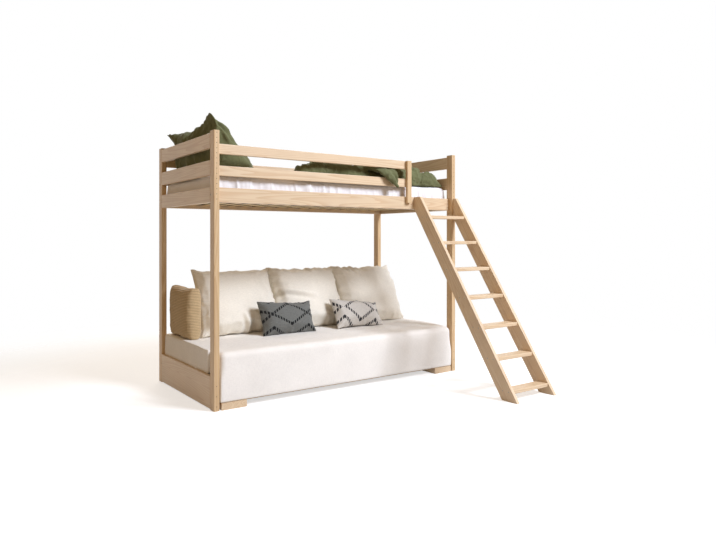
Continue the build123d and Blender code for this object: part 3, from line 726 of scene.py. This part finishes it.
def crease(bm, look):
    # folds that run in from the seam, broad dents in the filling and a little gathering along the top
    halfWidth = look["width"] / 2
    halfHeight = look["height"] / 2
    bm.normal_update()
    for vert in bm.verts:
        u = vert.co.x / halfWidth
        v = vert.co.z / halfHeight
        seed = Vector(look["seed"])
        broad = noise.noise(vert.co * look["dentFrequency"] + seed)
        rimShare = max(abs(u), abs(v))
        along, inwards = (vert.co.x, abs(v)) if abs(v) > abs(u) else (vert.co.z, abs(u))
        ridge = 1 - abs(noise.noise(Vector((along * look["foldFrequency"], 1.6 * inwards, look["seed"][0]))))
        strength = smoothStep(0.5, 0.92, rimShare) * (1 - smoothStep(0.955, 1.0, rimShare))
        sag = look["dentDepth"] * broad * (1 - smoothStep(0.8, 1.0, rimShare))
        vert.co += vert.normal * (sag + (ridge ** 5 - 0.4) * look["foldDepth"] * strength)
        # long slack folds that run from top to bottom
        streak = Vector((u * halfWidth + 0.15 * broad, vert.co.y * 0.5, v * halfHeight * 0.28))
        slack = (1 - abs(noise.noise(streak * look["streakFrequency"] + seed * 2))) ** 5 - 0.3
        vert.co += vert.normal * look["streakDepth"] * slack * (1 - smoothStep(0.9, 1.0, rimShare))
        for fold in look.get("folds", ()):
            # one placed fold each, from one point to another in shares of the panel
            start, end = Vector(fold["start"]), Vector(fold["end"])
            line = end - start
            point = Vector((u, v)) - start
            t = min(1.0, max(0.0, point.dot(line) / line.length_squared))
            gap = (point - line * t).length / fold["width"]
            if fold["side"] * vert.normal.y > 0:
                bend = math.exp(-gap * gap) - 0.6 * math.exp(-((gap - 1.5) ** 2) * 2)
                vert.co += vert.normal * fold["height"] * bend * math.sin(math.pi * min(1.0, t * 0.85 + 0.15))


def pressFlat(bm, restHeight, ease):
    # the underside spreads where it meets what it lies on
    for vert in bm.verts:
        if vert.co.z < restHeight + ease:
            t = max(0.0, (vert.co.z - restHeight + ease) / (2 * ease))
            vert.co.z = restHeight + ease * t * t


def droopCorner(bm, look):
    # one top corner sinks
    for vert in bm.verts:
        u = smoothStep(0.1, 1.0, vert.co.x / look["width"] + 0.5)
        v = smoothStep(0.3, 1.0, vert.co.z / look["height"] + 0.5)
        vert.co.z -= look["droop"] * u * u * v


def pointCorners(bm, look):
    # the two upper corners are thin, and the one that stands up is drawn out
    for vert in bm.verts:
        u = 2 * vert.co.x / look["width"]
        upper = smoothStep(0.0, 1.0, 2 * vert.co.z / look["height"])
        standing, lying = smoothStep(-0.2, 1.0, -u) * upper, smoothStep(0.2, 1.0, u) * upper
        share = max(standing, lying)
        vert.co.y *= 1 - look["point"]["thin"] * (share if vert.co.y > 0 else share ** 2)
        vert.co.z += look["point"]["rise"] * standing ** 2
        vert.co.y -= look["point"]["lean"] * standing


def leanOnRail(bm, look, corner):
    # the top and the far edge stay near the node's corner, and the back follows the rail and sags over it
    top, far = max(v.co.z for v in bm.verts), max(v.co.x for v in bm.verts)
    ahead, up = look["offCorner"]
    bmesh.ops.translate(bm, vec=(corner.x - far + ahead, 0, corner.z - top + up), verts=bm.verts)
    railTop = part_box(look["against"])[1]
    gap, sag, bend = 0.003, 0.06, 0.01
    for vert in bm.verts:
        limit = railTop.x + gap - sag * smoothStep(railTop.z + 0.002, railTop.z + sag, vert.co.z)
        if vert.co.x < limit + bend:
            t = max(0.0, (vert.co.x - limit + bend) / (2 * bend))
            vert.co.x = limit + bend * t * t


def makeCushion(name, node, look, material, body):
    bm = sewnPanels(look)
    plump(bm, look)
    piece = finishMesh(name, bm, material)
    settle(piece, look)
    bm = bmesh.new()
    bm.from_mesh(piece.data)
    crease(bm, look)
    if look.get("droop"):
        droopCorner(bm, look)
    if look.get("point"):
        pointCorners(bm, look)
    turn = Euler([math.radians(a) for a in look["turn"]], look.get("turnOrder", "XYZ")).to_matrix()
    bmesh.ops.rotate(bm, cent=(0, 0, 0), matrix=turn, verts=bm.verts)
    low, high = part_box(node)
    centre = (low + high) / 2
    lowest = min(v.co.z for v in bm.verts)
    bmesh.ops.translate(bm, vec=(centre.x, centre.y, low.z - lowest - look["sink"]), verts=bm.verts)
    bmesh.ops.translate(bm, vec=look["shift"], verts=bm.verts)
    if look.get("against"):
        leanOnRail(bm, look, high)
    pressFlat(bm, low.z + 0.001, look["ease"])
    bmesh.ops.recalc_face_normals(bm, faces=bm.faces)
    bm.to_mesh(piece.data)
    bm.free()
    return finishPadded(piece, node, body)


# giveAlong is the share of the simulated move that is kept in width, thickness and height, cap the most of it
backLook = {
    "width": 0.618, "height": 0.535, "thickness": 0.165, "seamBand": 0.007, "cells": (52, 50),
    "profile": 0.42,  # a lower value is fuller near the seams
    "draw": 0.003, "topDraw": 0.012,  # how far the sides and the top are drawn in
    "ear": 0.004,  # how far the corners stand out
    "pressure": 4.0, "stiffness": 0.3, "frames": 18, "giveAlong": (0.10, 1.0, 0.15), "cap": 0.03,
    "dentFrequency": 4.5, "dentDepth": 0.020, "foldFrequency": 13.0, "foldDepth": 0.014,
    "streakFrequency": 8.0, "streakDepth": 0.005,
    "shift": (0, 0, 0), "sink": 0.012, "ease": 0.008, "fill": 0.7,
}
backCushions = {
    "backCushionLeft": ("back_cushion_left", {
        "seed": (1, 2, 3), "width": 0.634, "shift": (-0.004, 0, 0), "turn": (-27, 0.8, 0), "folds": [
            {"start": (0.15, -0.95), "end": (0.0, -0.45), "width": 0.06, "height": 0.018, "side": -1},
            {"start": (0.45, -0.95), "end": (0.3, -0.35), "width": 0.08, "height": 0.016, "side": -1}]}),
    "backCushionMiddle": ("back_cushion_middle", {
        "seed": (6, 4, 9), "width": 0.626, "turn": (-27, 0.6, 0), "folds": [
            {"start": (-0.9, 0.15), "end": (0.2, -0.1), "width": 0.09, "height": 0.018, "side": -1},
            {"start": (0.1, 0.95), "end": (0.2, 0.65), "width": 0.05, "height": 0.014, "side": -1}]}),
    "backCushionRight": ("back_cushion_right", {
        "seed": (12, 7, 5), "turn": (-27, 0.3, 0), "folds": [
            {"start": (-0.45, 0.98), "end": (-0.30, 0.50), "width": 0.055, "height": 0.020, "side": -1},
            {"start": (-0.62, 0.98), "end": (-0.52, 0.60), "width": 0.05, "height": 0.018, "side": -1}]}),
}
for name, (node, changes) in backCushions.items():
    makeCushion(name, node, dict(backLook, **changes), linenCream, "frame")

# a firm block cushion that stands in the left corner
cornerLook = dict(
    backLook, width=0.41, height=0.375, thickness=0.115, seamBand=0.022, cells=(44, 40), profile=0.22,
    draw=0.002, topDraw=0.003, ear=0.0, cap=0.010, dentDepth=0.004, foldDepth=0.003, streakDepth=0.001,
    turn=(0, 0, 90), seed=(4, 4, 1), shift=(-0.002, 0, 0))
makeCushion("cornerCushion", "corner_cushion", cornerLook, sandCord, "frame")

scatterLook = dict(
    backLook, width=0.448, height=0.270, thickness=0.095, seamBand=0.006, cells=(50, 32), profile=0.5,
    draw=0.007, topDraw=0.009, ear=0.003, dentDepth=0.008, foldFrequency=17.0, foldDepth=0.008,
    streakDepth=0.002, fill=0.6)
darkLook = dict(scatterLook, seed=(8, 3, 2), turn=(-24, 0.5, 0), droop=0.014)
makeCushion("darkScatterCushion", "dark_scatter_cushion", darkLook, charcoalWeave, "frame")
lightLook = dict(scatterLook, seed=(2, 9, 6), height=0.255, turn=(-32, 2, 0), droop=0.038)
makeCushion("lightScatterCushion", "light_scatter_cushion", lightLook, stoneWeave, "frame")

# slack and heavy: its back sags against the end rails, and its front corner stands up beside the post
pillowLook = dict(
    backLook, width=0.80, height=0.57, thickness=0.14, cells=(70, 50), profile=0.32, giveAlong=(0.2, 1.0, 0.2),
    draw=0.016, topDraw=0.036, ear=0.005, belly=0.105, dentFrequency=5.0, dentDepth=0.012,
    foldFrequency=9.0, foldDepth=0.009, streakFrequency=13.0, streakDepth=0.022, fill=0.5,
    turn=(0, -44, 90), turnOrder="ZYX", seed=(7, 7, 7), point={"thin": 0.8, "rise": 0.014, "lean": 0.036},
    against="left_end_rail_top", offCorner=(0.010, -0.004), folds=[
        {"start": (-0.97, 0.96), "end": (-0.88, -0.40), "width": 0.035, "height": 0.020, "side": -1},
        {"start": (-0.93, 0.96), "end": (-0.62, 0.00), "width": 0.045, "height": 0.018, "side": -1},
        {"start": (-0.96, 0.95), "end": (-0.82, 0.10), "width": 0.045, "height": 0.018, "side": 1},
        {"start": (-0.90, 0.97), "end": (-0.55, 0.40), "width": 0.07, "height": 0.010, "side": 1},
        {"start": (0.20, 0.97), "end": (0.10, 0.50), "width": 0.08, "height": 0.008, "side": 1}])
makeCushion("pillowCase", "pillow", pillowLook, olivePercale, "frame")
print("cushions and pillow made")


# Duvet: pushed into soft folds on the right half of the bed, one corner hung over the guard rail

duvetLook = {
    "cells": (96, 64), "left": -0.42, "right": 0.985,
    "setBack": 0.014,  # behind the mattress's front edge
    # height over the mattress along the front edge, from left to right
    "crest": ((-0.42, 0.04), (-0.35, 0.10), (-0.22, 0.138), (0.0, 0.146), (0.3, 0.146), (0.45, 0.142),
              (0.62, 0.150), (0.73, 0.150), (0.82, 0.136), (0.9, 0.102), (0.985, 0.050)),
    "backShare": 0.86,  # height at the back over height at the front
    "slant": 0.40,  # the left edge runs away from the rail
    "edge": 0.04,  # m in which the rim rises
    "wander": (0.05, 0.03), "wanderRim": 0.25,  # how far the outline strays, and how far in that is felt
    "underside": 0.003,  # over the mattress
    "foldScale": (3.4, 4.6), "foldHeight": 0.040, "creaseHeight": 0.026, "wrinkleHeight": 0.007,
    "seed": (2.5, 1.5, 0.0), "voxel": 0.008, "fill": 0.4,
    "crispCount": 19,  # short creases per metre
    "crispHeight": 0.009, "crispSink": 0.004,
    "mattressFront": 0.045,  # what lies behind it rests on the mattress
    "pressure": 3.0, "stiffness": 0.2, "frames": 14, "giveAlong": (1, 1, 1), "cap": 0.012,
}
flapLook = {
    # the hanging corner: half width, place along the bed, then a path over the rail as Y and Z
    "path": ((0.13, 0.33, 0.13, 1.600), (0.12, 0.34, 0.075, 1.600), (0.10, 0.35, 0.030, 1.585),
             (0.085, 0.362, 0.000, 1.570), (0.075, 0.372, -0.020, 1.548), (0.052, 0.392, -0.024, 1.515),
             (0.030, 0.413, -0.022, 1.485), (0.010, 0.432, -0.020, 1.462)),
    "cells": (10, 28), "thickness": 0.018,
}


def curveValue(points, x):
    # smooth steps between given points
    for (x0, y0), (x1, y1) in zip(points, points[1:]):
        if x <= x1:
            return y0 + (y1 - y0) * smoothStep(x0, x1, x)
    return points[-1][1]


def duvetHeight(x, y, depthShare, look):
    # round folds with tight valleys between them, and small creases on top
    place = Vector((x * look["foldScale"][0], y * look["foldScale"][1], 0)) + Vector(look["seed"])
    bend = Vector((noise.noise(place * 0.7), noise.noise(place * 0.7 + Vector((9, 9, 9))), 0)) * 0.7
    fold = min(1.0, abs(noise.noise(place + bend)) * 3.2) ** 0.6
    small = min(1.0, abs(noise.noise(place * 2.6 + bend)) * 3.0) ** 0.7
    crest = curveValue(look["crest"], x) * (1 + (look["backShare"] - 1) * depthShare)
    share = min(1.0, crest / 0.08)
    wrinkle = (1 - abs(noise.noise(place * 5.5 + bend * 2))) ** 4
    return (crest - look["foldHeight"] * share * (1 - fold) - look["creaseHeight"] * share * (1 - small)
            + look["wrinkleHeight"] * share * wrinkle)


def duvetBody(look):
    mattressLow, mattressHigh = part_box("upper_mattress")
    rest = mattressHigh.z
    front = mattressLow.y + look["setBack"]
    width = look["right"] - look["left"]
    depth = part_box("duvet")[1].y - front
    bm = bmesh.new()
    bmesh.ops.create_grid(bm, x_segments=look["cells"][0], y_segments=look["cells"][1], size=0.5)
    for vert in bm.verts:
        s, t = vert.co.x + 0.5, vert.co.y + 0.5
        along = look["left"] + width * s
        x, y = along + look["slant"] * t * (1 - s), front + depth * t
        rim = min(s * width, (1 - s) * width, t * depth, (1 - t) * depth)
        if rim < look["wanderRim"]:
            ease = 1 - smoothStep(0, look["wanderRim"], rim)
            x += look["wander"][0] * ease * noise.noise(Vector((x * 5, y * 5, 1)))
            y += look["wander"][1] * ease * max(-0.3, noise.noise(Vector((x * 5, y * 5, 9))))
        rise = max(0.0, min(1.0, rim / look["edge"])) ** 0.5
        vert.co = Vector((x, y, rest + 0.010 + (duvetHeight(along, y, t, look) - 0.004) * rise))
    lower = bmesh.ops.extrude_face_region(bm, geom=bm.faces[:])["geom"]
    for vert in (g for g in lower if isinstance(g, bmesh.types.BMVert)):
        vert.co.z = rest + look["underside"]
    bmesh.ops.recalc_face_normals(bm, faces=bm.faces)
    return bm


def hangFlap(bm, look):
    # a strip of the same cloth that follows its path and narrows to the corner
    made = bmesh.ops.create_grid(bm, x_segments=look["cells"][0], y_segments=look["cells"][1], size=0.5)["verts"]
    path = look["path"]
    for vert in made:
        s, t = vert.co.x, (vert.co.y + 0.5) * (len(path) - 1)
        i = min(int(t), len(path) - 2)
        half, x, y, z = (a + (b - a) * (t - i) for a, b in zip(path[i], path[i + 1]))
        wave = 0.007 * math.sin(s * 9 + z * 20)
        vert.co = Vector((x + 2 * s * half, y + wave, z))
    strip = set(made)
    faces = [f for f in bm.faces if f.verts[0] in strip]
    bmesh.ops.recalc_face_normals(bm, faces=faces)
    bmesh.ops.solidify(bm, geom=faces, thickness=look["thickness"])
    bmesh.ops.recalc_face_normals(bm, faces=bm.faces)


def makeDuvet(look):
    bm = duvetBody(look)
    hangFlap(bm, flapLook)
    piece = finishMesh("duvetCover", bm, olivePercale)
    joined = piece.modifiers.new("joined", "REMESH")
    joined.mode = "VOXEL"
    joined.voxel_size = look["voxel"]
    softened = piece.modifiers.new("softened", "SMOOTH")
    softened.iterations = 3
    softened.factor = 0.5
    graph = bpy.context.evaluated_depsgraph_get()
    whole = bpy.data.meshes.new_from_object(piece.evaluated_get(graph))
    piece.modifiers.clear()
    rough = piece.data
    piece.data = whole
    bpy.data.meshes.remove(rough)
    settle(piece, look)
    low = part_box("upper_mattress")[1].z + look["underside"]
    normals = [v.normal.copy() for v in piece.data.vertices]
    for vert, normal in zip(piece.data.vertices, normals):
        # short crisp creases of washed cotton
        bend = noise.noise(vert.co * 9) * 0.8
        ridge = (1 - abs(noise.noise(vert.co * look["crispCount"] + Vector((bend, -bend, bend))))) ** 5
        vert.co += normal * (look["crispHeight"] * ridge - look["crispSink"])
    for vert in piece.data.vertices:
        if vert.co.y > look["mattressFront"] and vert.co.z < low:
            vert.co.z = low
    for face in piece.data.polygons:
        face.use_smooth = True
    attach(piece, "frame")
    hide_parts("duvet")


makeDuvet(duvetLook)
print("duvet made")


# Pin holes in the front posts: dark dull cylinders just under the face, their darkness painted shade of the holes'
# depth

holeLook = {"radius": 0.0024, "pitch": 0.032, "upperCount": 14, "lowerHeights": (0.028, 0.092, 0.156),
            "recess": 0.0006, "depth": 0.009}


def makeHoleShadeMaterial(name, tones):
    # dark dull brown as painted shade inside the holes
    material, tree = startMaterial(name)
    place = addNode(tree, "ShaderNodeTexCoord")
    grain = addNode(tree, "ShaderNodeTexNoise", {"Scale": 900.0}, {"Vector": place.outputs["Object"]})
    tone = addNode(tree, "ShaderNodeMix", {"data_type": "RGBA", 6: hexColour(tones[0]), 7: hexColour(tones[1])},
                   {0: grain.outputs["Fac"]})
    shader = addNode(tree, "ShaderNodeBsdfPrincipled", {"Roughness": 0.85}, {"Base Color": tone.outputs[2]})
    addNode(tree, "ShaderNodeOutputMaterial", {}, {"Surface": shader.outputs[0]})
    return material


holeShadeBrown = makeHoleShadeMaterial("pin hole painted shade", ("#140C06", "#2A1B0E"))


def makeHoleShadeCylinders(look):
    mounts = {m["name"]: m for m in frame["record"]["mounts"]}
    bm = bmesh.new()
    for side in ("left", "right"):
        top = Vector(mounts["accessory_hole_" + side]["pos_m"])
        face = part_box("post_front_" + side + "_upper")[0].y
        heights = [top.z - i * look["pitch"] for i in range(look["upperCount"])] + list(look["lowerHeights"])
        for z in heights:
            place = Matrix.Translation((top.x, face + look["recess"] + look["depth"] / 2, z))
            bmesh.ops.create_cone(bm, cap_ends=True, segments=12, radius1=look["radius"], radius2=look["radius"],
                                  depth=look["depth"], matrix=place @ Matrix.Rotation(quarter, 4, "X"))
    piece = finishMesh("pinHoleWalls", bm, holeShadeBrown, smooth=False)
    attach(piece, "frame")


makeHoleShadeCylinders(holeLook)
print("pin holes lined")
